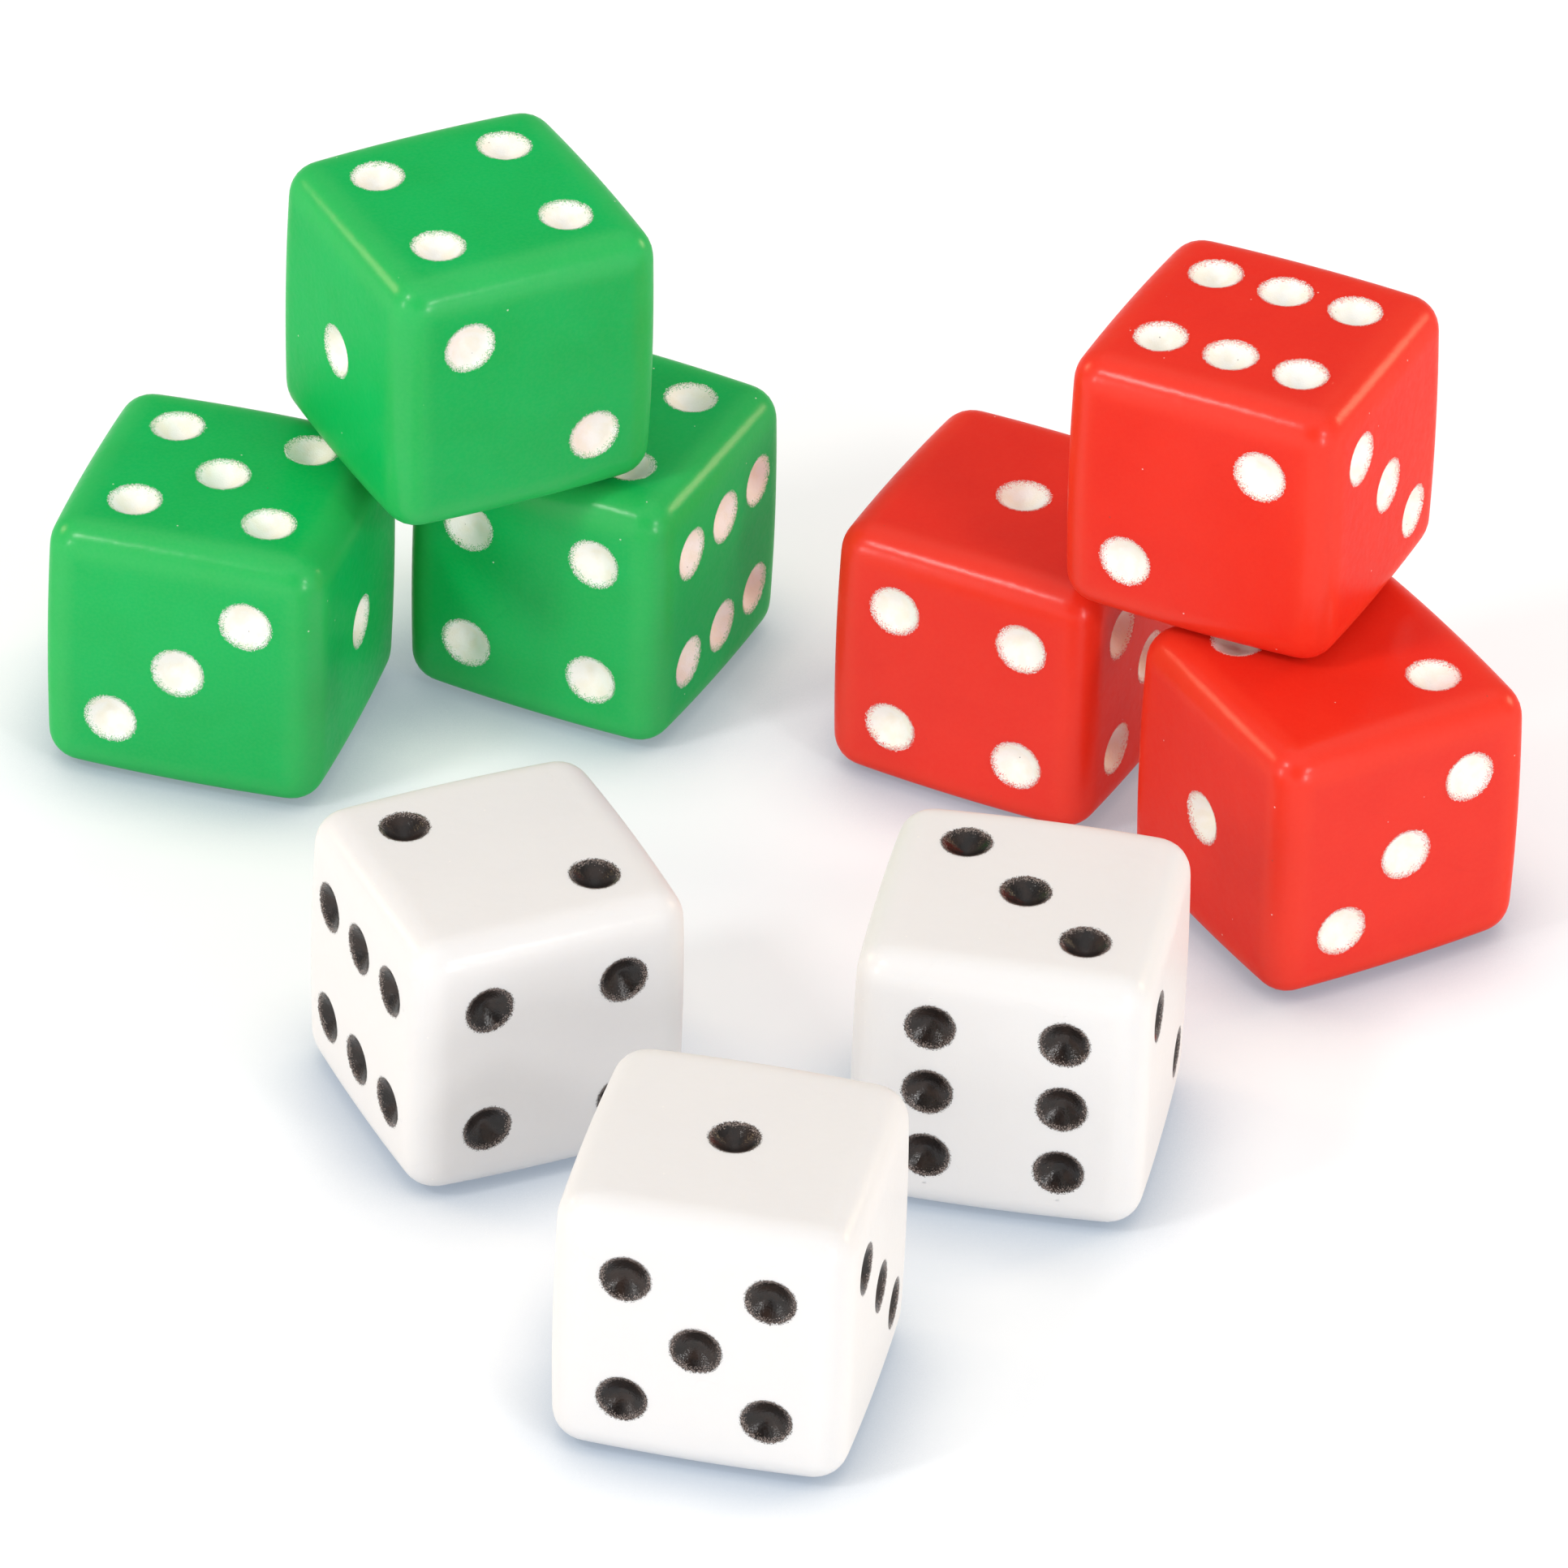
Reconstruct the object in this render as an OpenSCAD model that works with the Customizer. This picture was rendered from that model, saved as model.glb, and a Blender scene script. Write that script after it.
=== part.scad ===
/* [Die] */
// Length of a die's side
side = 16; // [14:0.1:16.5]
// Radius of the rounded edges and corners
edge_r = 1.7; // [1:0.1:1.8]

/* [Pips] */
// Diameter of a green or red die's drilled pip where it meets the face
pip_d = 3; // [2.4:0.1:3.2]
// Diameter of a white die's pip
white_pip_d = 2.8; // [2.4:0.1:3.2]
// How steeply a pip's conical wall goes down, from level
pip_angle = 36; // [25:1:40]
// Diameter of the flat that the drill's tip leaves at the bottom
tip_d = 0.3; // [0.1:0.05:0.6]
// Distance from a face's middle to its corner pips, along each side
corner_pitch = 3.85; // [3.3:0.05:4]
// Distance between neighbours in the six's rows of three
row_pitch = 4.15; // [3.5:0.05:4.2]
// Distance from the face's middle to each of the six's rows
row_offset = 3.6; // [3:0.05:4]

/* [Paint] */
// Thickness of the paint in a pip
paint_t = 0.1; // [0.06:0.01:0.2]
// How far below the face the paint stops
paint_drop = 0.04; // [0.02:0.01:0.1]

/* [Green dice] */
// Middle of the lower left green die
green_left_at = [-31.2, 4.6]; // [-60:0.1:60]
// Its turn about the upright
green_left_yaw = 255.2; // [0:0.1:360]
// Middle of the lower right green die
green_right_at = [-11, 12.1]; // [-60:0.1:60]
// Its turn about the upright
green_right_yaw = 65.2; // [0:0.1:360]
// Middle of the green die that lies flat on both
green_top_at = [-18.1, 8.7]; // [-60:0.1:60]
// Its turn about the upright
green_top_yaw = 207.8; // [0:0.1:360]

/* [Red dice] */
// Middle of the lower left red die
red_left_at = [12.5, 5.3]; // [-60:0.1:60]
// Its turn about the upright
red_left_yaw = 64.7; // [0:0.1:360]
// Middle of the lower right red die
red_right_at = [29.4, -9.3]; // [-60:0.1:60]
// Its turn about the upright
red_right_yaw = 301; // [0:0.1:360]
// Middle of the red die that rests on both
red_top_at = [24.6, -1.3]; // [-60:0.1:60]
// Its turn about the upright
red_top_yaw = 335.5; // [0:0.1:360]
// How far it leans off the lower right die, onto the edge of the left one
red_top_lean = 1; // [0:0.1:1]
// How far its middle sinks as it leans
red_top_sink = 0.05; // [0:0.01:0.05]

/* [White dice] */
// Middle of the left white die
white_left_at = [-14.9, -30.2]; // [-60:0.1:60]
// Its turn about the upright
white_left_yaw = 115; // [0:0.1:360]
// Middle of the right white die
white_right_at = [12.9, -32.3]; // [-60:0.1:60]
// Its turn about the upright
white_right_yaw = 260.6; // [0:0.1:360]
// Middle of the front white die
white_front_at = [-1.9, -55.3]; // [-60:0.1:60]
// Its turn about the upright
white_front_yaw = 348.3; // [0:0.1:360]

/* [Hidden] */
$fn = 64;
green_plastic = "#2fb04f";
red_plastic = "#ee3a2c";
white_plastic = "#f2f0ee";
white_paint = "#f7f4e8";
black_paint = "#1c1a18";

// Air between stacked dice, and between paint and plastic.
stack_gap = 0.02;
paint_gap = 0.01;

// The inner box whose faces, grown by edge_r, are the die's faces.
flat = side - 2 * edge_r;

// How far up from the bottom of a pip the cutter is drawn.
drill_up = 2;

// Opposite faces add up to seven, and each pair's pips are one painted group.
PAIRS = [[1, 6], [2, 5], [3, 4]];

// Each die: name, plastic, paint, middle, turn, face that is up, tier,
// lean, the direction it leans in, how far it sinks, and its pips' diameter.
DICE = [
    ["green_left", green_plastic, white_paint, green_left_at, green_left_yaw, 5, 0, 0, 0, 0, pip_d],
    ["green_right", green_plastic, white_paint, green_right_at, green_right_yaw, 5, 0, 0, 0, 0, pip_d],
    ["green_top", green_plastic, white_paint, green_top_at, green_top_yaw, 4, 1, 0, 0, 0, pip_d],
    ["red_left", red_plastic, white_paint, red_left_at, red_left_yaw, 1, 0, 0, 0, 0, pip_d],
    ["red_right", red_plastic, white_paint, red_right_at, red_right_yaw, 2, 0, 0, 0, 0, pip_d],
    ["red_top", red_plastic, white_paint, red_top_at, red_top_yaw, 6, 1,
        red_top_lean, red_right_yaw + 180, red_top_sink, pip_d],
    ["white_left", white_plastic, black_paint, white_left_at, white_left_yaw, 2, 0, 0, 0, 0,
        white_pip_d],
    ["white_right", white_plastic, black_paint, white_right_at, white_right_yaw, 3, 0, 0, 0, 0,
        white_pip_d],
    ["white_front", white_plastic, black_paint, white_front_at, white_front_yaw, 1, 0, 0, 0, 0,
        white_pip_d],
];

function die_node(d) = str(d[0], "_die");
function paint_node(d, pair) = str(d[0], "_paint_", pair[0], "_", pair[1]);

// Half of a turned die's width, and the middle of the whole set's outline.
function reach(yaw) = flat / 2 * (abs(cos(yaw)) + abs(sin(yaw))) + edge_r;
function middle(i) = (min([for (d = DICE) d[3][i] - reach(d[4])])
    + max([for (d = DICE) d[3][i] + reach(d[4])])) / 2;
set_middle = [middle(0), middle(1)];

// The turn that takes the top of a die to the face with n pips.
function face_turn(n) =
    n == 1 ? [0, 0, 0] :
    n == 2 ? [-90, 0, 0] :
    n == 3 ? [0, 90, 0] :
    n == 4 ? [0, -90, 0] :
    n == 5 ? [90, 0, 0] : [180, 0, 0];

// Where the n pips of a face lie on it.
function pips(n) =
    n == 1 ? [[0, 0]] :
    n == 2 ? [for (i = [-1, 1]) [i, i] * corner_pitch] :
    n == 4 ? [for (i = [-1, 1], j = [-1, 1]) [i, j] * corner_pitch] :
    n == 6 ? [for (i = [-1:1], j = [-1, 1]) [i * row_pitch, j * row_offset]] :
    concat(pips(n - 1), pips(1));

// Puts a die that was made at the origin, with its one up, in its place.
module placed(d) {
    up = d[5];
    tier = d[6];
    lean = d[7];
    toward = d[8];
    height = side / 2 + tier * (side + stack_gap) - d[9];
    translate([d[3][0] - set_middle[0], d[3][1] - set_middle[1], height])
        rotate([0, 0, toward])
            rotate([0, lean, 0])
                rotate([0, 0, d[4] - toward])
                    rotate(-face_turn(up))
                        children();
}

// Puts a shape at every pip of the face with n pips.
module at_pips(n) {
    rotate(face_turn(n))
        for (p = pips(n))
            translate([p[0], p[1], side / 2])
                children();
}

// A cube with every edge and corner rounded.
module rounded_cube() {
    cube([side, flat, flat], center = true);
    cube([flat, side, flat], center = true);
    cube([flat, flat, side], center = true);
    for (turn = [[0, 0, 0], [90, 0, 0], [0, 90, 0]])
        rotate(turn)
            for (i = [-1, 1], j = [-1, 1])
                translate([i * flat / 2, j * flat / 2, 0])
                    cylinder(r = edge_r, h = flat, center = true);
    for (i = [-1, 1], j = [-1, 1], k = [-1, 1])
        translate([i, j, k] * flat / 2)
            sphere(r = edge_r);
}

// What the drill takes out of a face at height zero for a pip of diameter d, less an even gap.
module drilled(d, gap = 0) {
    depth = (d - tip_d) / 2 * tan(pip_angle);
    tip_r = tip_d / 2 - gap * tan(pip_angle / 2);
    translate([0, 0, gap - depth])
        cylinder(r1 = tip_r, r2 = tip_r + drill_up / tan(pip_angle), h = drill_up);
}

// The paint that lines a pip of diameter d.
module paint_film(d) {
    difference() {
        intersection() {
            drilled(d, paint_gap);
            translate([0, 0, -side / 2 - paint_drop])
                cube(side, center = true);
        }
        translate([0, 0, paint_t])
            drilled(d);
    }
}

// The moulded cube with its twenty-one drilled pips.
module die(d) {
    color(d[1])
        placed(d)
            difference() {
                rounded_cube();
                for (n = [1:6])
                    at_pips(n)
                        drilled(d[10]);
            }
}

// The seven painted pips of two opposite faces.
module paint(d, pair) {
    color(d[2])
        placed(d)
            for (n = pair)
                at_pips(n)
                    paint_film(d[10]);
}

for (d = DICE) {
    die(d);
    for (pair = PAIRS)
        paint(d, pair);
}
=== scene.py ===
import math
from itertools import product

import bmesh
import bpy
import numpy as np
from mathutils import Matrix, Vector
from mathutils.geometry import delaunay_2d_cdt


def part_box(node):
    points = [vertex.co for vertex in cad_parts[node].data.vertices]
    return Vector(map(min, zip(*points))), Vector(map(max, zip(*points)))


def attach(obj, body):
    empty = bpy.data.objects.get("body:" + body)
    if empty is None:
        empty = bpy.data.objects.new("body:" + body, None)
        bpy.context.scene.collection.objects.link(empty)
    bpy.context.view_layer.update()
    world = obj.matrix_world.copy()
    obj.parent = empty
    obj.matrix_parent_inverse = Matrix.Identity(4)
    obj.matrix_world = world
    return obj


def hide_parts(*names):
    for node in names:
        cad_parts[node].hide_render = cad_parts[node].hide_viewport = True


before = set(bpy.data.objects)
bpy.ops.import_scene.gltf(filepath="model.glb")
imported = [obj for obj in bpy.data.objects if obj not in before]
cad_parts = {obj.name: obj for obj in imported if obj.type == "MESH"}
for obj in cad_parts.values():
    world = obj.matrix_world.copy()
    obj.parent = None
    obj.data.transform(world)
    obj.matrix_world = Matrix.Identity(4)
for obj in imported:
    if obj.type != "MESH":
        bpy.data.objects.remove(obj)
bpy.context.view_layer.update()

# ---------------------------------------------------------------- sizes

# All shapes are worked out in millimetres and scaled by MM at the end.
MM = 0.001

DICE = {
    "green": ["green_left", "green_right", "green_top"],
    "red": ["red_left", "red_right", "red_top"],
    "white": ["white_left", "white_right", "white_front"],
}
# Opposite faces, of which the second has more pips. Each pair's paint is one CAD node.
PAIRS = [(1, 6), (2, 5), (3, 4)]
SEED = 21

# A die stands flat, so the height of its box is its side.
low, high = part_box("white_front_die")
HALF = (high[2] - low[2]) / MM / 2

# The rounded edge: a superellipse a little fuller than a circle, then an even
# softening that crowns the faces a hair and takes more off the corners.
EDGE_R = 1.95
EDGE_POWER = 2.25
TUMBLE = 0.011
EDGE_STEPS = 10
FLAT = HALF - EDGE_R

# Positions along an edge, and along the sides of a face.
STATIONS = np.linspace(-FLAT, FLAT, 25)

# The flat of a face has a grid of points between its pips, this many each way
# from the middle, and clear of the flat's sides and of the pips.
FILL_STEPS = 7
FILL_MARGIN = 0.22
FILL_CLEAR = 0.2

# The paler zone, partly tumbling wear and partly a painted sheen of the light that the thin edges
# catch, starts this far in from a rounded edge, and grows this fast across it.
WEAR_AND_SHEEN_IN = 0.35
WEAR_AND_SHEEN_GROWTH = 2.6

# Where the pips lie.
CORNER_PITCH = 3.85
ROW_PITCH = 4.15
ROW_OFFSET = 3.6

# Drilled pips: their wall, the flat of the drill's tip, and how much its foot and rim are rounded.
PIP_SLOPE = math.tan(math.radians(36))
TIP_R = 0.15
FOOT_ROUND = 0.06
RIM_ROUND = 0.02
PIP_STEPS = 64

# The radius of the round patch of the face that each pip is drilled in.
PIP_SURROUND = 1.9

# Where that patch has rings of points, out from the pip's rim.
WALL_RINGS = [0.32, 0.16, 0.09, 0.06, 0.04, 0.02, 0.0, -0.02, -0.04, -0.07, -0.12, -0.2,
              -0.35, -0.6, -0.85, -1.05, -1.2]

# The distance from a pip's middle that is kept for points with no pip near them.
FAR = 9.0

# Points that are the same to a two-thousandth of a millimetre become one.
WELD = 2000

# Paint films: their thickness, the part of it that is left at their rim, the air under them,
# how far in from the pip's rim they stop, how ragged and how far out of round their own rim is,
# and how wide the pool at the bottom is.
FILM_T = 0.06
FILM_THINNEST = 0.12
FILM_GAP = 0.006
FILM_IN = 0.045
FILM_RAGGED = 0.03
FILM_WAVE = 0.02
POOL_R = 0.45

# A film's rings, as parts of the pip's radius. Its rim has twice as many points as they have.
FILM_RINGS = [0.92, 0.86, 0.77, 0.66, 0.54, 0.43, 0.34, 0.26, 0.19, 0.12, 0.06]
FILM_STEPS = 96
FILM_RIM_STEPS = FILM_STEPS * 2


# ---------------------------------------------------------------- shape of a die

# The right, up and outward directions of each face, by its number of pips.
FACE_AXES = {
    1: ((1, 0, 0), (0, 1, 0), (0, 0, 1)),
    2: ((1, 0, 0), (0, 0, -1), (0, 1, 0)),
    3: ((0, 0, -1), (0, 1, 0), (1, 0, 0)),
    4: ((0, 0, 1), (0, 1, 0), (-1, 0, 0)),
    5: ((1, 0, 0), (0, 0, 1), (0, -1, 0)),
    6: ((1, 0, 0), (0, -1, 0), (0, 0, -1)),
}
SIGNS = (-1, 1)


def pips(n):
    """Where the n pips of a face lie on it."""
    if n == 1:
        return [(0, 0)]
    if n == 2:
        return [(i * CORNER_PITCH, i * CORNER_PITCH) for i in SIGNS]
    if n == 4:
        return [(i * CORNER_PITCH, j * CORNER_PITCH) for i, j in product(SIGNS, SIGNS)]
    if n == 6:
        return [(i * ROW_PITCH, j * ROW_OFFSET) for i, j in product((-1, 0, 1), SIGNS)]
    return pips(n - 1) + pips(1)


def pip_distance(n, x, y):
    """How far places on the face with n pips are from the middle of the nearest one."""
    near = np.full(np.shape(x), FAR)
    for a, b in pips(n):
        near = np.minimum(near, np.hypot(x - a, y - b))
    return near


def to_die(n, points):
    """Points (right, up, out) of a face, in the die's own axes."""
    return np.asarray(points, float) @ np.array(FACE_AXES[n], float)


def tumbled(points):
    """Softens a die: nothing at the middle of a face, more at its edges, most at its corners."""
    p = np.asarray(points, float)
    s = (p / HALF) ** 2
    pull = s[:, 0] * s[:, 1] + s[:, 1] * s[:, 2] + s[:, 2] * s[:, 0]
    return p * (1 - TUMBLE * pull)[:, None]


def smooth_max(a, b, width):
    """The larger of a and b, rounded over where they cross."""
    return np.logaddexp(np.asarray(a) / width, np.asarray(b) / width) * width


def wall_depth(r, pip_r):
    """Depth of a drilled cone at distance r from its middle, with its rim and tip rounded."""
    r = np.asarray(r, float)
    cone = (pip_r - smooth_max(r, TIP_R, FOOT_ROUND)) * PIP_SLOPE
    # The rim's rounding has to end within the round patch.
    away = np.clip((PIP_SURROUND - r) / (PIP_SURROUND - pip_r), 0, 1)
    return smooth_max(cone, 0.0, RIM_ROUND) * np.minimum(away * 2, 1)


class Shell:
    """Collects points and faces; points closer than a hair become one."""

    def __init__(self):
        self.points, self.faces, self.rim = [], [], []

    def add(self, points, faces, rim=None):
        start = len(self.points)
        self.points += [tuple(p) for p in points]
        self.rim += list(rim) if rim is not None else [FAR] * len(points)
        self.faces += [tuple(start + i for i in f) for f in faces]

    def welded(self):
        """Arrays of the points, the faces and how far each point is from a pip's middle."""
        keys, index, points, rim = {}, [], [], []
        for p, r in zip(self.points, self.rim):
            key = tuple(round(c * WELD) for c in p)
            if key not in keys:
                keys[key] = len(points)
                points.append(p)
                rim.append(r)
            k = keys[key]
            rim[k] = min(rim[k], r)
            index.append(k)
        faces = []
        for face in self.faces:
            corners = [index[i] for i in face]
            corners = [a for i, a in enumerate(corners) if a != corners[i - 1]]
            if len(corners) > 2:
                faces.append(tuple(corners))
        return np.array(points), faces, np.array(rim)


def edge_profile():
    """Directions across a rounded edge, from one face to the next."""
    out = []
    for k in range(EDGE_STEPS + 1):
        t = math.pi / 2 * k / EDGE_STEPS
        c, s = math.cos(t), math.sin(t)
        size = (c**EDGE_POWER + s**EDGE_POWER) ** (1 / EDGE_POWER)
        out.append((c / size, s / size))
    return out


def add_edge(shell, axis, sa, sb):
    """The rounded edge along one axis, on the given sides of the other two."""
    a, b = [i for i in range(3) if i != axis]
    profile = edge_profile()
    points, faces = [], []
    for along in STATIONS:
        for c, s in profile:
            p = [0.0, 0.0, 0.0]
            p[axis] = along
            p[a] = sa * (FLAT + EDGE_R * c)
            p[b] = sb * (FLAT + EDGE_R * s)
            points.append(p)
    m = len(profile)
    for i in range(len(STATIONS) - 1):
        for k in range(m - 1):
            faces.append((i * m + k, i * m + k + 1, (i + 1) * m + k + 1, (i + 1) * m + k))
    shell.add(points, faces)


def add_corner(shell, signs):
    """One rounded corner, as a triangle of points that bulges outward."""
    n = EDGE_STEPS
    points, faces, at = [], [], {}
    for a in range(n + 1):
        for b in range(n + 1 - a):
            d = np.sin(np.pi / 2 / n * np.array([a, b, n - a - b], float))
            d /= (d**EDGE_POWER).sum() ** (1 / EDGE_POWER)
            at[a, b] = len(points)
            points.append((FLAT + EDGE_R * d) * signs)
    for a in range(n):
        for b in range(n - a):
            faces.append((at[a, b], at[a + 1, b], at[a, b + 1]))
            if a + b < n - 1:
                faces.append((at[a + 1, b], at[a + 1, b + 1], at[a, b + 1]))
    shell.add(points, faces)


def ring(r, steps, middle=(0, 0)):
    """Points round a circle."""
    t = np.arange(steps) * 2 * np.pi / steps
    return np.stack([middle[0] + r * np.cos(t), middle[1] + r * np.sin(t)], 1)


def disc_faces(start, rings, steps):
    """Faces between rings of points, then from the last ring in to the point that follows it."""
    faces = []
    for k in range(rings - 1):
        a, b = start + k * steps, start + (k + 1) * steps
        for i in range(steps):
            j = (i + 1) % steps
            faces.append((a + i, a + j, b + j, b + i))
    last = start + (rings - 1) * steps
    for i in range(steps):
        faces.append((last + i, last + (i + 1) % steps, last + steps))
    return faces


def flat_outlines(n):
    """The outline of a face's flat and of the round patches that its n pips are drilled in."""
    square = [(u, -FLAT) for u in STATIONS[:-1]] + [(FLAT, v) for v in STATIONS[:-1]]
    square += [(u, FLAT) for u in STATIONS[:0:-1]] + [(-FLAT, v) for v in STATIONS[:0:-1]]
    patches = [[tuple(p) for p in ring(PIP_SURROUND, PIP_STEPS, middle)] for middle in pips(n)]
    return [square] + patches


def add_flat(shell, n):
    """The flat of a face, triangulated round the patches of its pips."""
    points, edges = [], []
    for loop in flat_outlines(n):
        start = len(points)
        points += loop
        edges += [(start + i, start + (i + 1) % len(loop)) for i in range(len(loop))]
    fill = np.arange(-FILL_STEPS, FILL_STEPS + 1) * (FLAT - FILL_MARGIN) / FILL_STEPS
    points += [(u, v) for u in fill for v in fill
               if pip_distance(n, u, v) > PIP_SURROUND + FILL_CLEAR]
    out = delaunay_2d_cdt([Vector(p) for p in points], edges, [], 0, 1e-6)
    verts = np.array([tuple(v) for v in out[0]])
    faces = []
    for f in out[2]:
        u, v = verts[list(f)].mean(0)
        # A patch's outline has straight sides, so triangles just outside it count as outside.
        if pip_distance(n, u, v) > PIP_SURROUND * 0.997:
            faces.append(tuple(f))
    flat = np.column_stack([verts, np.full(len(verts), HALF)])
    shell.add(to_die(n, flat), faces, pip_distance(n, verts[:, 0], verts[:, 1]))


def add_pip(shell, n, middle, pip_r):
    """The round patch of a face with one drilled pip in it."""
    radii = [PIP_SURROUND] + [pip_r + out for out in WALL_RINGS]
    points, rims = [], []
    for r in radii:
        z = HALF - float(wall_depth(r, pip_r))
        points += [(x, y, z) for x, y in ring(r, PIP_STEPS, middle)]
        rims += [r] * PIP_STEPS
    points.append((middle[0], middle[1], HALF - float(wall_depth(0, pip_r))))
    rims.append(0.0)
    shell.add(to_die(n, points), disc_faces(0, len(radii), PIP_STEPS), rims)


def die_shape(pip_r):
    """The moulded cube in its own axes: points, faces, nearness to a pip, and how far round an edge
    each point lies, for the edges' paler colour of wear and painted sheen.
    """
    shell = Shell()
    for n in range(1, 7):
        add_flat(shell, n)
        for middle in pips(n):
            add_pip(shell, n, middle, pip_r)
    for axis, sa, sb in product(range(3), SIGNS, SIGNS):
        add_edge(shell, axis, sa, sb)
    for signs in product(SIGNS, repeat=3):
        add_corner(shell, signs)
    points, faces, rim = shell.welded()
    # How far a point lies round an edge or corner: nothing on a flat, one in the middle.
    over = np.clip(np.abs(points) - (FLAT - WEAR_AND_SHEEN_IN), 0, None) / (EDGE_R + WEAR_AND_SHEEN_IN)
    over.sort(axis=1)
    wear_and_sheen = np.clip(over[:, 1] * WEAR_AND_SHEEN_GROWTH, 0, 1)
    return tumbled(points), faces, rim, wear_and_sheen


# ---------------------------------------------------------------- shape of the paint

def ragged_rim(pip_r, rng):
    """The outermost points of a film, frayed grain by grain and a little out of round."""
    t = np.arange(FILM_RIM_STEPS) * 2 * np.pi / FILM_RIM_STEPS
    # The draws are cut off, more closely outwards, so that no grain passes the pip's rim.
    fray = rng.standard_normal(FILM_RIM_STEPS).clip(-2.5, 1.2)
    # Two to four slow waves.
    wave = np.sin(t * rng.integers(2, 5) + rng.uniform(0, 6))
    r = pip_r - FILM_IN + FILM_RAGGED * fray + FILM_WAVE * wave
    return np.stack([r * np.cos(t), r * np.sin(t)], 1)


def film_height(r, pip_r, pool, top):
    """The height of a film's upper or lower skin at distance r from the pip's middle."""
    lift = np.full(len(r), FILM_GAP)
    if top:
        lift += FILM_T * np.clip(1 - (r / pip_r) ** 8, FILM_THINNEST, 1)
        lift += pool * np.exp(-((r / POOL_R) ** 2))
    return HALF - wall_depth(r, pip_r) + lift


def skin_faces(start):
    """The faces of one skin: from its rim to the first ring, then ring by ring to its middle."""
    faces = []
    inner = start + FILM_RIM_STEPS
    for i in range(FILM_STEPS):
        j = (i + 1) % FILM_STEPS
        a, b, c = start + 2 * i, start + 2 * i + 1, start + (2 * i + 2) % FILM_RIM_STEPS
        faces += [(inner + i, a, b), (inner + i, b, inner + j), (inner + j, b, c)]
    return faces + disc_faces(inner, len(FILM_RINGS), FILM_STEPS)


def film_shape(n, pip_r, pool, rng):
    """The paint in the pips of one face: closed films with ragged rims."""
    points, faces, rims = [], [], []
    rings = [ring(part * pip_r, FILM_STEPS) for part in FILM_RINGS]
    for middle in pips(n):
        flat = np.vstack([ragged_rim(pip_r, rng)] + rings + [(0.0, 0.0)])
        r = np.hypot(flat[:, 0], flat[:, 1])
        upper = len(points)
        lower = upper + len(flat)
        for top in (True, False):
            height = film_height(r, pip_r, pool, top)
            points += [(middle[0] + x, middle[1] + y, z) for (x, y), z in zip(flat, height)]
            rims += list(r)
        faces += skin_faces(upper)
        faces += [f[::-1] for f in skin_faces(lower)]
        for i in range(FILM_RIM_STEPS):
            j = (i + 1) % FILM_RIM_STEPS
            faces.append((lower + i, lower + j, upper + j, upper + i))
    return to_die(n, points), faces, np.array(rims)


def paint_shape(few, many, pip_r, pool, rng):
    """The paint of two opposite faces, in the shape that make_piece takes."""
    points, faces, rim = film_shape(few, pip_r, pool, rng)
    more, more_faces, more_rim = film_shape(many, pip_r, pool, rng)
    faces += [tuple(i + len(points) for i in f) for f in more_faces]
    points = np.vstack([points, more])
    return tumbled(points), faces, np.concatenate([rim, more_rim]), np.zeros(len(points))


# ---------------------------------------------------------------- placing in the frame

# Cosines of the angles between directions that count as nearly or quite the same.
WITHIN_18_DEGREES = 0.95
WITHIN_HALF_A_DEGREE = 0.99995


def node_array(elements, attribute, width):
    """One attribute of a CAD mesh's points or faces, as an array."""
    out = np.empty(len(elements) * width, np.float32)
    elements.foreach_get(attribute, out)
    return out.reshape(-1, width).astype(float)


def flat_normal(normal, area, guess):
    """The direction of the flat face that faces nearly the way of a guess."""
    near = normal @ guess > WITHIN_18_DEGREES
    out = (normal[near] * area[near]).sum(0)
    for _ in range(3):
        out /= np.linalg.norm(out)
        near = normal @ out > WITHIN_HALF_A_DEGREE
        out = (normal[near] * area[near]).sum(0)
    return out / np.linalg.norm(out)


def die_place(name):
    """The die's middle and its three, two and one directions, read from its CAD nodes."""
    low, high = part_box(name + "_die")
    middle = (np.array(low) + np.array(high)) / 2
    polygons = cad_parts[name + "_die"].data.polygons
    normal = node_array(polygons, "normal", 3)
    area = node_array(polygons, "area", 1)
    towards = {}
    for few, many in PAIRS:
        # A pair's films lie mostly on the face with more pips.
        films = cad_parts[f"{name}_paint_{few}_{many}"].data.vertices
        guess = middle - node_array(films, "co", 3).mean(0)
        towards[few] = flat_normal(normal, area, guess / np.linalg.norm(guess))
    one = towards[1]
    two = towards[2] - one * (towards[2] @ one)
    two /= np.linalg.norm(two)
    return middle, np.array([np.cross(two, one), two, one])


def make_piece(name, shape, place, body, replaced, material, shift):
    """A mesh piece from points in a die's own axes, put in its place on its CAD body."""
    points, faces, rim, wear_and_sheen = shape
    middle, axes = place
    mesh = bpy.data.meshes.new(name)
    mesh.from_pydata((points * MM @ axes + middle).tolist(), [], faces)
    for label, values in (("rim", rim), ("wear_and_sheen", wear_and_sheen)):
        mesh.attributes.new(label, "FLOAT", "POINT").data.foreach_set("value", values)
    skin = mesh.attributes.new("skin", "FLOAT_VECTOR", "POINT")
    skin.data.foreach_set("vector", (points + shift).ravel())
    b = bmesh.new()
    b.from_mesh(mesh)
    bmesh.ops.recalc_face_normals(b, faces=b.faces)
    b.to_mesh(mesh)
    b.free()
    mesh.shade_smooth()
    piece = bpy.data.objects.new(name, mesh)
    bpy.context.collection.objects.link(piece)
    mesh.materials.append(material)
    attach(piece, body)
    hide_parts(replaced)


# ---------------------------------------------------------------- materials

DUST = (0.9, 0.86, 0.8)
DIRT = (0.12, 0.08, 0.06)

# How deep the bumps in plastic and paint are, in metres.
BUMP_DEPTH = 0.00003


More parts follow.
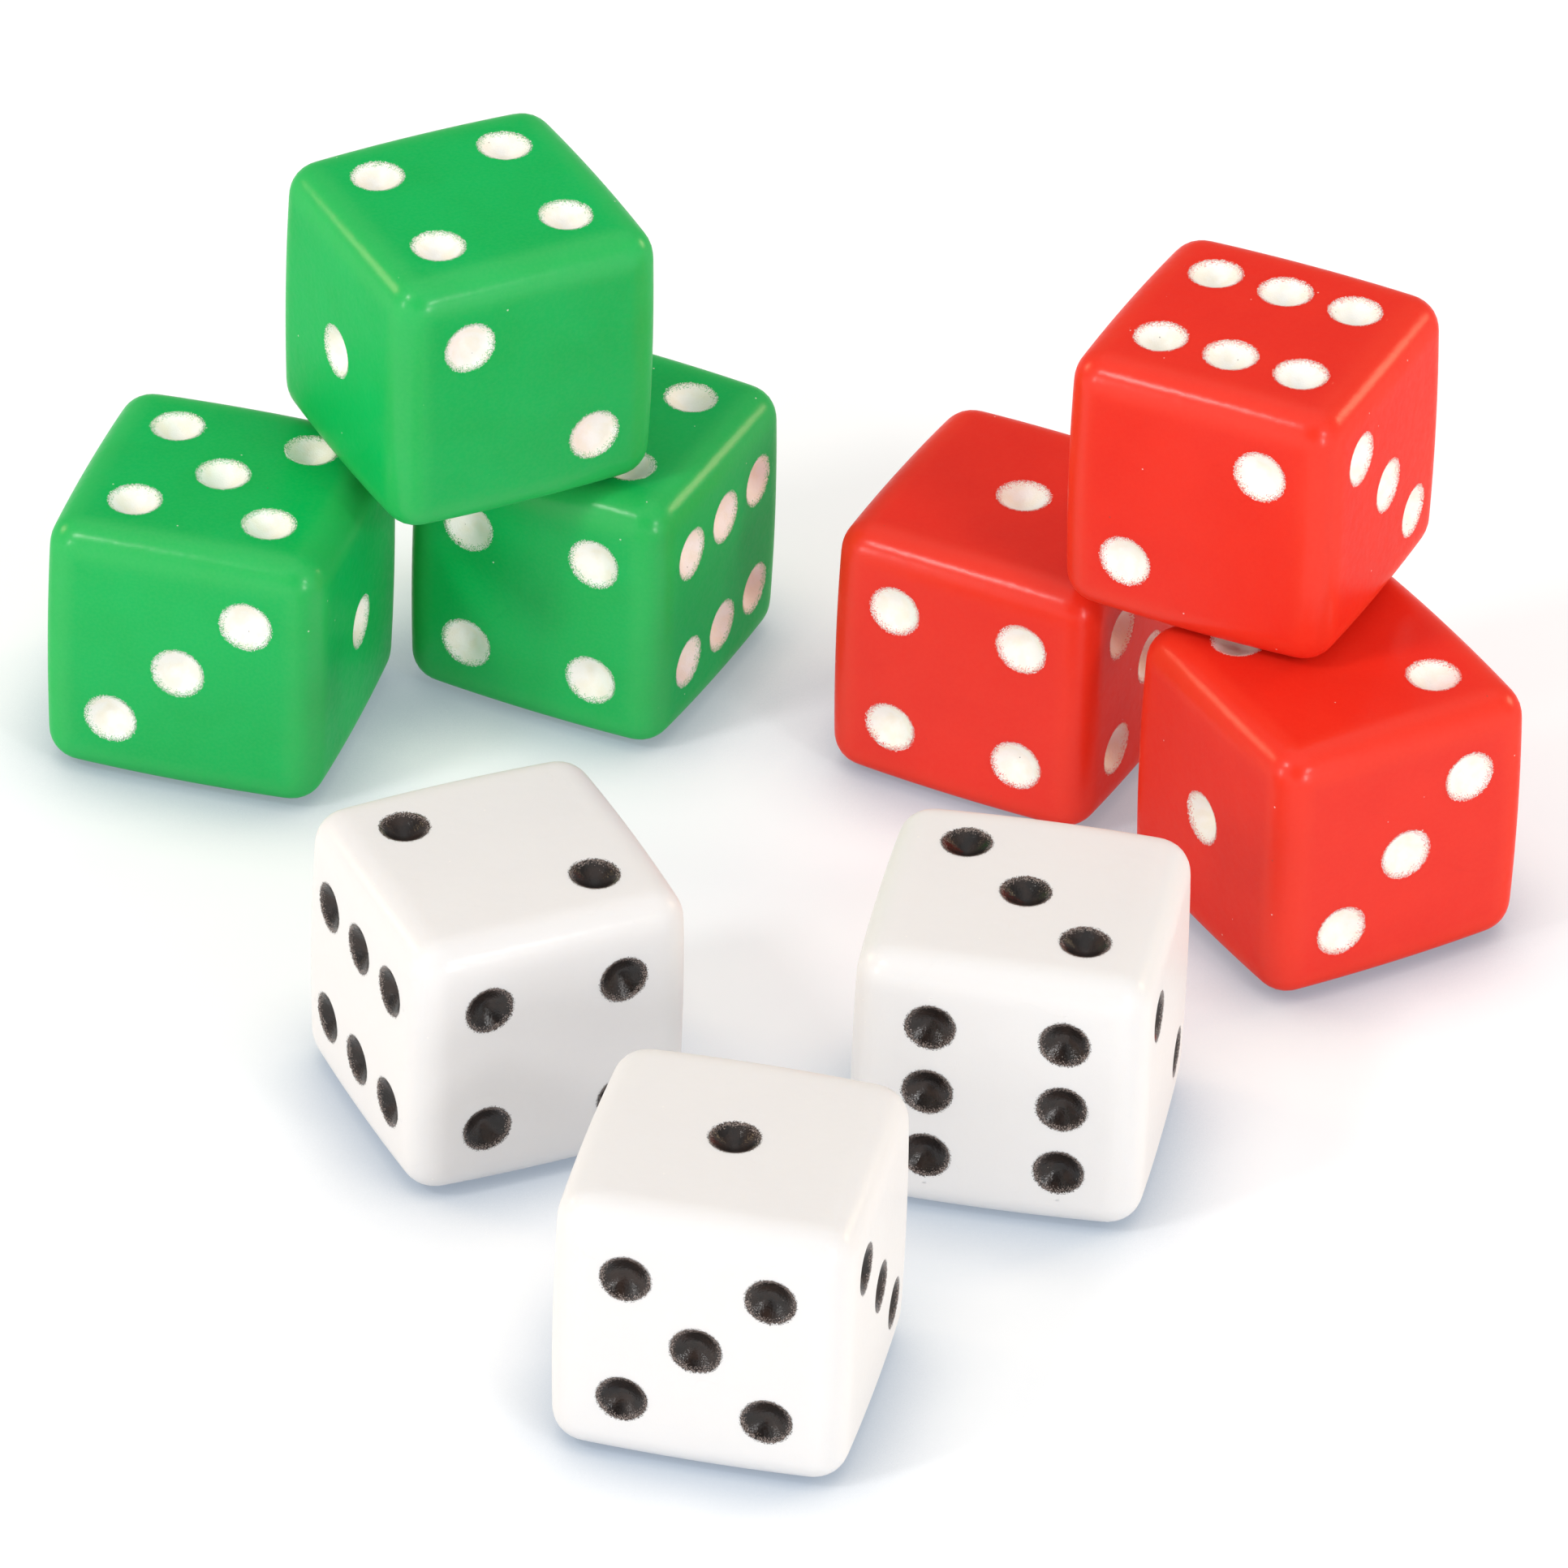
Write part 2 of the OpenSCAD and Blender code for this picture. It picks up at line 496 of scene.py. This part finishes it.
class Nodes:
    """A short way to write a node tree. Links are given as values of a node's inputs."""

    def __init__(self, owner):
        """Starts an empty tree for a material or a world."""
        owner.use_nodes = True
        self.tree = owner.node_tree
        self.tree.nodes.clear()

    def add(self, kind, inputs=None, **settings):
        node = self.tree.nodes.new("ShaderNode" + kind)
        for key, value in settings.items():
            setattr(node, key, value)
        for key, value in (inputs or {}).items():
            if isinstance(value, bpy.types.NodeSocket):
                self.tree.links.new(value, node.inputs[key])
            else:
                node.inputs[key].default_value = value
        return node

    def attribute(self, name, output="Fac"):
        return self.add("Attribute", attribute_name=name).outputs[output]

    def math(self, operation, a, b=0.0, clamp=False):
        return self.add("Math", {0: a, 1: b}, operation=operation, use_clamp=clamp).outputs[0]

    def ramp(self, value, span, to=(0.0, 1.0)):
        """Maps the span's low and high ends smoothly to those of to."""
        inputs = {"Value": value, "From Min": span[0], "From Max": span[1],
                  "To Min": to[0], "To Max": to[1]}
        return self.add("MapRange", inputs, interpolation_type="SMOOTHSTEP").outputs[0]

    def mix(self, factor, a, b):
        """A colour between a and b. A Mix node's colour sockets are numbers 6, 7 and 2."""
        return self.add("Mix", {0: factor, 6: a, 7: b}, data_type="RGBA").outputs[2]

    def noise(self, where, scale, detail=2.0):
        inputs = {"Vector": where, "Scale": scale, "Detail": detail}
        return self.add("TexNoise", inputs).outputs["Fac"]

    def cells(self, where, scale):
        return self.add("TexVoronoi", {"Vector": where, "Scale": scale})

    def cell_picks(self, where, scale):
        """The random numbers of the cells, three to each."""
        return self.add("SeparateColor", {0: self.cells(where, scale).outputs["Color"]}).outputs

    def spots(self, where, scale, size, share):
        """Small separate spots up to size across, in a share of the cells."""
        cell = self.cells(where, scale)
        near = self.math("LESS_THAN", cell.outputs["Distance"], size / 2 * scale)
        pick = self.add("SeparateColor", {0: cell.outputs["Color"]}).outputs[0]
        return self.math("MULTIPLY", near, self.math("LESS_THAN", pick, share))

    def dot(self, way, direction):
        inputs = {0: way, 1: direction}
        return self.add("VectorMath", inputs, operation="DOT_PRODUCT").outputs["Value"]

    def finish(self, shader, kind="OutputMaterial"):
        self.add(kind, {"Surface": shader.outputs[0]})


def rgba(colour):
    return (*colour, 1.0)


def grains(n, skin, chance, scale=20.0):
    """Sprayed grains of all strengths, each of which shows with the chance at its place."""
    pick = n.cell_picks(skin, scale)
    return n.math("MULTIPLY", n.math("LESS_THAN", pick[0], chance), pick[1])


def plastic_colour(n, skin, look, grain, dust):
    """Mottled plastic, paler at its rounded edges from wear and a painted sheen, with paint grains,
    dust and specks of dirt.
    """
    cloud = n.ramp(n.noise(skin, scale=0.22, detail=3.0), (0.3, 0.75), (0.0, 0.6))
    colour = n.mix(cloud, rgba(look["base"]), rgba(look["deep"]))
    fine = n.ramp(n.noise(skin, scale=5.0, detail=3.0), (0.3, 0.7), (0.0, 0.10))
    colour = n.mix(fine, colour, rgba(look["edge"]))
    # Paler towards the rounded edges: partly tumbling wear, partly a painted sheen of the light
    # that the thin edges catch.
    wear_and_sheen_share = n.math("MULTIPLY", n.attribute("wear_and_sheen"), 0.25)
    colour = n.mix(wear_and_sheen_share, colour, rgba(look["edge"]))
    colour = n.mix(grain, colour, rgba(look["grain"]))
    colour = n.mix(n.math("MULTIPLY", dust, 0.55), colour, rgba(DUST))
    # Moved over, so that the specks of dirt don't lie in the same cells as the dust.
    elsewhere = n.add("VectorMath", {0: skin, 1: (7, 3, 5)}, operation="ADD").outputs[0]
    dirt = n.spots(elsewhere, scale=0.5, size=0.09, share=0.3)
    return n.mix(n.math("MULTIPLY", dirt, 0.5), colour, rgba(DIRT))


def plastic_height(n, skin, grain):
    """A gently uneven, fine-grained skin with a few hairline scratches and raised paint grains."""
    # A scratch follows the contours of a slow noise, in a few places only.
    line = n.math("ABSOLUTE", n.math("SUBTRACT", n.noise(skin, scale=0.33, detail=1.0), 0.5))
    places = n.ramp(n.noise(skin, scale=0.5, detail=1.0), (0.56, 0.66))
    scratch = n.math("MULTIPLY", n.math("LESS_THAN", line, 0.0022), places)
    texture = n.math("MULTIPLY", n.noise(skin, scale=9.0, detail=2.0), 0.16)
    height = n.math("ADD", n.noise(skin, scale=1.3, detail=1.0), texture)
    height = n.math("SUBTRACT", height, n.math("MULTIPLY", scratch, 0.5))
    return n.math("ADD", height, n.math("MULTIPLY", grain, 0.5))


def plastic(name, look):
    """Tumbled moulded plastic, slightly translucent."""
    material = bpy.data.materials.new(name)
    n = Nodes(material)
    skin = n.attribute("skin", "Vector")
    # Paint grains that the tumbling left on the rim of each pip.
    rim_band = (look["pip_r"] - 0.03, look["pip_r"] + 0.10)
    grain = grains(n, skin, n.ramp(n.attribute("rim"), rim_band, (0.8, 0.0)))
    dust = n.spots(skin, scale=0.72, size=0.1, share=0.6)
    height = plastic_height(n, skin, grain)
    bump = n.add("Bump", {"Strength": 0.55, "Distance": BUMP_DEPTH, "Height": height})
    rough = n.ramp(n.noise(skin, scale=2.4, detail=3.0), (0.3, 0.7), (0.30, 0.38))
    rough = n.math("ADD", rough, n.math("MULTIPLY", n.math("ADD", dust, grain), 0.25), clamp=True)
    # The tumbled skin is too fine-grained to shine at a grazing angle.
    facing = n.add("LayerWeight", {"Blend": 0.5}).outputs["Facing"]
    n.finish(n.add("BsdfPrincipled", {
        "Base Color": plastic_colour(n, skin, look, grain, dust),
        "Roughness": rough,
        "IOR": 1.45,
        "Specular IOR Level": 0.04,
        "Normal": bump.outputs[0],
        "Coat Weight": n.ramp(facing, (0.25, 0.65), (0.48, 0.03)),
        "Coat Roughness": 0.24,
        "Coat Normal": bump.outputs[0],
        "Subsurface Weight": 0.35,
        "Subsurface Radius": look["glow"],
        "Subsurface Scale": 0.0008,
    }))
    return material


def paint(name, look):
    """Sprayed paint: a little uneven, with grains missing towards its rim and a few specks."""
    material = bpy.data.materials.new(name)
    n = Nodes(material)
    skin = n.attribute("skin", "Vector")
    cloud = n.ramp(n.noise(skin, scale=1.2, detail=3.0), (0.35, 0.7))
    colour = n.mix(cloud, rgba(look["paint"]), rgba(look["paint_tint"]))
    rim_band = (look["pip_r"] - 0.4, look["pip_r"])
    missing = grains(n, skin, n.ramp(n.attribute("rim"), rim_band, (0.0, 0.8)), scale=24.0)
    colour = n.mix(missing, colour, rgba(look["under_paint"]))
    specks = n.spots(skin, scale=1.5, size=0.07, share=0.35)
    colour = n.mix(n.math("MULTIPLY", specks, 0.8), colour, rgba(look["speck"]))
    height = n.noise(skin, scale=7.0, detail=3.0)
    height = n.math("ADD", height, n.math("MULTIPLY", missing, -0.5))
    pits = n.cells(skin, scale=13.0).outputs["Distance"]
    height = n.math("ADD", height, n.math("MULTIPLY", pits, 0.35))
    bump = n.add("Bump", {"Strength": 0.7, "Distance": BUMP_DEPTH, "Height": height})
    rough_span = (look["paint_rough"] - 0.05, look["paint_rough"] + 0.05)
    n.finish(n.add("BsdfPrincipled", {
        "Base Color": colour,
        "Roughness": n.ramp(n.noise(skin, scale=4.0, detail=2.0), (0.3, 0.7), rough_span),
        "IOR": 1.5,
        "Specular IOR Level": look["paint_specular"],
        "Normal": bump.outputs[0],
    }))
    return material


GREEN = (0.001, 0.425, 0.088)
RED = (0.765, 0.025, 0.011)

# What the green and red dice share: their pips and the white paint in them.
COLOURED = {
    "paint": (0.92, 0.90, 0.85),
    "paint_tint": (0.90, 0.85, 0.74),
    "grain": (0.92, 0.90, 0.85),
    "speck": (0.06, 0.05, 0.04),
    "paint_rough": 0.5,
    "paint_specular": 0.4,
    "slot": "white_paint",
    "pip_r": 1.5,
    "pool": 0.12,
}

# Each colour of dice: its plastic's usual and deeper colours, its paler edge colour of wear and
# painted sheen, how far red, green and blue light spread in it, and its paint. The white dice's
# pips are drilled a little smaller.
LOOKS = {
    "green": {
        **COLOURED,
        "base": GREEN,
        "deep": (0.001, 0.380, 0.070),
        "edge": (0.075, 0.480, 0.120),
        "glow": (0.35, 1.0, 0.45),
        "under_paint": GREEN,
    },
    "red": {
        **COLOURED,
        "base": RED,
        "deep": (0.720, 0.019, 0.009),
        "edge": (0.820, 0.060, 0.024),
        "glow": (1.0, 0.35, 0.2),
        "under_paint": RED,
    },
    "white": {
        "base": (0.76, 0.74, 0.73),
        "deep": (0.745, 0.725, 0.72),
        "edge": (0.79, 0.77, 0.755),
        "glow": (1.0, 0.9, 0.8),
        "under_paint": (0.34, 0.27, 0.24),
        "paint": (0.010, 0.007, 0.006),
        "paint_tint": (0.026, 0.015, 0.011),
        "grain": (0.026, 0.015, 0.011),
        "speck": (0.16, 0.14, 0.12),
        "paint_rough": 0.11,
        "paint_specular": 0.38,
        "slot": "black_paint",
        "pip_r": 1.4,
        "pool": 0.13,
    },
}


# ---------------------------------------------------------------- the dice

def build_dice():
    rng = np.random.default_rng(SEED)
    for colour, names in DICE.items():
        look = LOOKS[colour]
        plastic_skin = plastic(colour + "_plastic", look)
        paint_skin = paint(f"{look['slot']}_on_{colour}", look)
        cube = die_shape(look["pip_r"])
        for name in names:
            place = die_place(name)
            # Where in the endless pattern of marks this die lies, so that no two are alike.
            shift = rng.uniform(20, 400, 3)
            make_piece(name + "_cube", cube, place, name,
                       name + "_die", plastic_skin, shift)
            for few, many in PAIRS:
                films = paint_shape(few, many, look["pip_r"], look["pool"], rng)
                make_piece(f"{name}_pips_{few}_{many}", films, place, name,
                           f"{name}_paint_{few}_{many}", paint_skin, shift)


# ---------------------------------------------------------------- floor, light and camera

CAMERA_PITCH = math.radians(34.64)
CAMERA_ROLL = math.radians(2.06)
CAMERA_AWAY = 0.8734
CAMERA_LENS = 365.4
CAMERA_AIM = Vector((0.0004, 0.0211, 0.0))
CAMERA_WAY = Vector((0, math.cos(CAMERA_PITCH), -math.sin(CAMERA_PITCH)))
LAMPS_AWAY = 0.9
WARM_WHITE = (1.0, 0.985, 0.96)
AMBER = (1.0, 0.75, 0.45)
PLAIN_WHITE = (1.0, 1.0, 1.0)

# The floor is this far below the dice, so that it nowhere coincides with them.
FLOOR_DOWN = 0.00002
FLOOR_REACH = 2.5

# How far the bluish shade that hugs each die reaches over the floor.
SHADE_REACH = 0.0065

# Each lamp: its name, azimuth, elevation, width, height, radiance and colour. The key and the
# fill are tall, narrow soft boxes, each with a small bright one above it. The warm pair behind,
# one at each side, draw a band along the edges that face them.
LAMPS = [
    ("key", -58, 20, 0.10, 0.22, 16, WARM_WHITE),
    ("key_spot", -56.7, 48.2, 0.13, 0.13, 34, WARM_WHITE),
    ("fill", 32, 14, 0.09, 0.22, 23, PLAIN_WHITE),
    ("fill_spot", 39.9, 32.4, 0.11, 0.11, 28, PLAIN_WHITE),
    ("right", 117.8, 20.2, 0.24, 0.24, 11, AMBER),
    ("left", -110, 25, 0.24, 0.24, 9, AMBER),
]


def build_floor():
    """A white acrylic table, lit a little from below, with a bluish shade where dice stand."""
    mesh = bpy.data.meshes.new("floor")
    b = bmesh.new()
    bmesh.ops.create_grid(b, x_segments=8, y_segments=8, size=FLOOR_REACH)
    bmesh.ops.translate(b, verts=b.verts, vec=(0, 0, -FLOOR_DOWN))
    b.to_mesh(mesh)
    b.free()
    floor = bpy.data.objects.new("floor", mesh)
    bpy.context.collection.objects.link(floor)
    material = bpy.data.materials.new("floor")
    n = Nodes(material)
    shade = n.add("AmbientOcclusion", {"Distance": SHADE_REACH}, samples=6)
    clear = n.ramp(shade.outputs["AO"], (0.30, 1.0))
    n.finish(n.add("BsdfPrincipled", {
        "Base Color": n.mix(clear, (0.26, 0.30, 0.35, 1.0), (0.58, 0.58, 0.58, 1.0)),
        "Roughness": 1.0,
        "Specular IOR Level": 0.0,
        "Emission Color": n.mix(clear, (0.48, 0.54, 0.62, 1.0), (0.95, 0.975, 1.0, 1.0)),
        "Emission Strength": 0.48,
    }))
    mesh.materials.append(material)


def build_world():
    """The room: bright at the horizon, in front and overhead, and dark round the camera.

    Each ramp goes by a direction's height, depth or nearness to a given one, and ends in strengths.
    """
    world = bpy.data.worlds.new("studio")
    bpy.context.scene.world = world
    n = Nodes(world)
    way = n.add("TexCoord").outputs["Generated"]
    axes = n.add("SeparateXYZ", {0: way}).outputs
    horizon = n.ramp(axes["Z"], (0.0, 0.45), (0.70, 0.38))
    front = n.ramp(axes["Y"], (0.2, -0.7), (0.0, 0.66))
    # A wide soft light overhead, a little behind, draws the shadows towards the camera.
    overhead = n.ramp(n.dot(way, (0, 0.2, 0.98)), (0.72, 1.0), (0.0, 0.55))
    room = n.math("ADD", n.math("ADD", horizon, front), overhead)
    shade = n.ramp(n.dot(way, -CAMERA_WAY), (0.86, 0.97), (1.0, 0.15))
    n.finish(n.add("Background", {
        "Color": (0.97, 0.985, 1.0, 1.0),
        "Strength": n.math("MULTIPLY", room, shade),
    }), "OutputWorld")


def build_lamp(name, azimuth, elevation, width, height, radiance, colour):
    """A soft box, LAMPS_AWAY off; azimuth 0 is over the camera, and positive is to the right."""
    a, e = math.radians(azimuth), math.radians(elevation)
    out = Vector((math.sin(a) * math.cos(e), -math.cos(a) * math.cos(e), math.sin(e)))
    data = bpy.data.lights.new(name, "AREA")
    data.shape = "RECTANGLE"
    data.size = width
    data.size_y = height
    data.energy = radiance * math.pi * width * height
    data.color = colour
    lamp = bpy.data.objects.new(name, data)
    lamp.location = CAMERA_AIM + out * LAMPS_AWAY
    lamp.rotation_euler = out.to_track_quat("Z", "Y").to_euler()
    bpy.context.collection.objects.link(lamp)


def build_camera():
    data = bpy.data.cameras.new("camera")
    data.lens = CAMERA_LENS
    data.sensor_width = 36
    camera = bpy.data.objects.new("camera", data)
    bpy.context.collection.objects.link(camera)
    right = Vector((1, 0, 0))
    up = right.cross(CAMERA_WAY)
    right = right * math.cos(CAMERA_ROLL) + up * math.sin(CAMERA_ROLL)
    up = right.cross(CAMERA_WAY)
    turn = Matrix((right, up, -CAMERA_WAY)).transposed().to_4x4()
    camera.matrix_world = Matrix.Translation(CAMERA_AIM - CAMERA_WAY * CAMERA_AWAY) @ turn
    bpy.context.scene.camera = camera


build_dice()
build_floor()
build_world()
for lamp in LAMPS:
    build_lamp(*lamp)
build_camera()
bpy.context.scene.view_settings.view_transform = "Standard"
